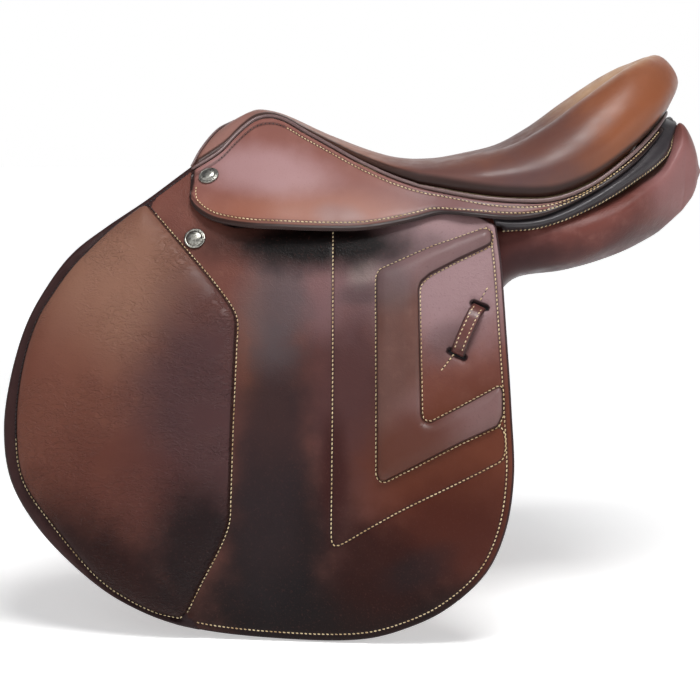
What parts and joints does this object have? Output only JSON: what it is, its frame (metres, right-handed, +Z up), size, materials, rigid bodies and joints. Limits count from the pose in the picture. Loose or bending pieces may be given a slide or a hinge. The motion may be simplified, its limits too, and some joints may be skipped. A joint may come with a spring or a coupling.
{
  "type": "saddle",
  "caption": "English jumping saddle: deep seat on a sprung tree, skirts, padded knee-roll flaps, sweat flaps, flocked panels, girth straps and stirrup bars with safety catches.",
  "frame": {"origin": "on the centre plane, in the channel under the waist of the tree, where the saddle would sit on a rack or on the horse's back", "axes": "+X from the pommel to the cantle, +Y to the off side (the rider's right), +Z up"},
  "size_m": [0.6122, 0.457, 0.5001],
  "materials": {
    "seat_leather": "waxed and polished",
    "skirt_leather": "waxed, satin",
    "flap_leather": "worn, satin",
    "calf_leather": "soft grain calf",
    "panel_leather": "satin",
    "dark_leather": "satin",
    "strap_leather": "waxed",
    "silver": "antiqued nickel",
    "steel": "forged",
    "beech": "laminated, lacquered",
    "foam": "latex foam",
    "webbing": "woven jute"
  },
  "bodies": {
    "saddle": {"seat_cover": "seat_leather", "seat_foam": "foam", "seat_web": "webbing", "tree": "beech", "head_plate": "steel", "tree_spring_right": "steel", "tree_spring_left": "steel", "seat_welt": "dark_leather", "arch_facing": "seat_leather", "panel_facing": "dark_leather", "skirt_right": "skirt_leather", "skirt_left": "skirt_leather", "skirt_stud_right": "silver", "skirt_stud_left": "silver", "flap_head_right": "flap_leather", "flap_head_left": "flap_leather", "knee_pad_top_right": "calf_leather", "knee_pad_top_left": "calf_leather", "flap_stud_right": "silver", "flap_stud_left": "silver", "sweat_flap_right": "flap_leather", "sweat_flap_left": "flap_leather", "knee_block_right": "calf_leather", "knee_block_left": "calf_leather", "calf_block_right": "calf_leather", "calf_block_left": "calf_leather", "girth_web_right": "webbing", "girth_web_left": "webbing", "panel_right": "panel_leather", "panel_left": "panel_leather", "stirrup_bar_right": "steel", "stirrup_bar_left": "steel", "bar_rivet_front_right": "steel", "bar_rivet_front_left": "steel", "bar_rivet_rear_right": "steel", "bar_rivet_rear_left": "steel", "catch_pin_right": "steel", "catch_pin_left": "steel"},
    "flap_right": {"flap_right": "flap_leather", "knee_pad_right": "calf_leather", "chevron_pad_right": "calf_leather", "flap_keeper_right": "strap_leather"},
    "flap_left": {"flap_left": "flap_leather", "knee_pad_left": "calf_leather", "chevron_pad_left": "calf_leather", "flap_keeper_left": "strap_leather"},
    "skirt_lobe_right": {"skirt_lobe_right": "skirt_leather"},
    "skirt_lobe_left": {"skirt_lobe_left": "skirt_leather"},
    "stirrup_catch_right": {"stirrup_catch_right": "steel"},
    "stirrup_catch_left": {"stirrup_catch_left": "steel"},
    "girth_strap_front_right": {"girth_strap_front_right": "strap_leather"},
    "girth_strap_front_left": {"girth_strap_front_left": "strap_leather"},
    "girth_straps_rear_right": {"girth_strap_middle_right": "strap_leather", "girth_strap_rear_right": "strap_leather"},
    "girth_straps_rear_left": {"girth_strap_middle_left": "strap_leather", "girth_strap_rear_left": "strap_leather"}
  },
  "joints": [
    {"name": "flap_lift_right", "type": "hinge", "parent": "saddle", "child": "flap_right", "pos_m": [-0.06311, 0.14576, -0.03508], "axis": [0.992, 0.1101, 0.062], "range_deg": [0, 80]},
    {"name": "flap_lift_left", "type": "hinge", "parent": "saddle", "child": "flap_left", "pos_m": [-0.06311, -0.14576, -0.03508], "axis": [-0.992, 0.1101, -0.062], "range_deg": [0, 80]},
    {"name": "skirt_lift_right", "type": "hinge", "parent": "saddle", "child": "skirt_lobe_right", "pos_m": [-0.03042, 0.12911, 0.00546], "axis": [0.982, 0.1811, -0.0534], "range_deg": [0, 70]},
    {"name": "skirt_lift_left", "type": "hinge", "parent": "saddle", "child": "skirt_lobe_left", "pos_m": [-0.03042, -0.12911, 0.00546], "axis": [-0.982, 0.1811, 0.0534], "range_deg": [0, 70]},
    {"name": "catch_turn_right", "type": "hinge", "parent": "saddle", "child": "stirrup_catch_right", "pos_m": [-0.03789, 0.11867, -0.00227], "axis": [0.1258, -0.8153, -0.5652], "range_deg": [0, 60]},
    {"name": "catch_turn_left", "type": "hinge", "parent": "saddle", "child": "stirrup_catch_left", "pos_m": [-0.03789, -0.11867, -0.00227], "axis": [-0.1258, -0.8153, 0.5652], "range_deg": [0, 60]},
    {"name": "girth_strap_front_swing_right", "type": "hinge", "parent": "saddle", "child": "girth_strap_front_right", "pos_m": [-0.07252, 0.12527, -0.04311], "axis": [-0.126, 0.8973, 0.423], "range_deg": [-7, 7]},
    {"name": "girth_strap_front_swing_left", "type": "hinge", "parent": "saddle", "child": "girth_strap_front_left", "pos_m": [-0.07252, -0.12527, -0.04311], "axis": [-0.126, -0.8973, 0.423], "range_deg": [-7, 7]},
    {"name": "girth_straps_rear_swing_right", "type": "hinge", "parent": "saddle", "child": "girth_straps_rear_right", "pos_m": [0.01748, 0.13526, -0.03748], "axis": [-0.126, 0.8973, 0.423], "range_deg": [-5, 5]},
    {"name": "girth_straps_rear_swing_left", "type": "hinge", "parent": "saddle", "child": "girth_straps_rear_left", "pos_m": [0.01748, -0.13526, -0.03748], "axis": [-0.126, -0.8973, 0.423], "range_deg": [-5, 5]}
  ]
}
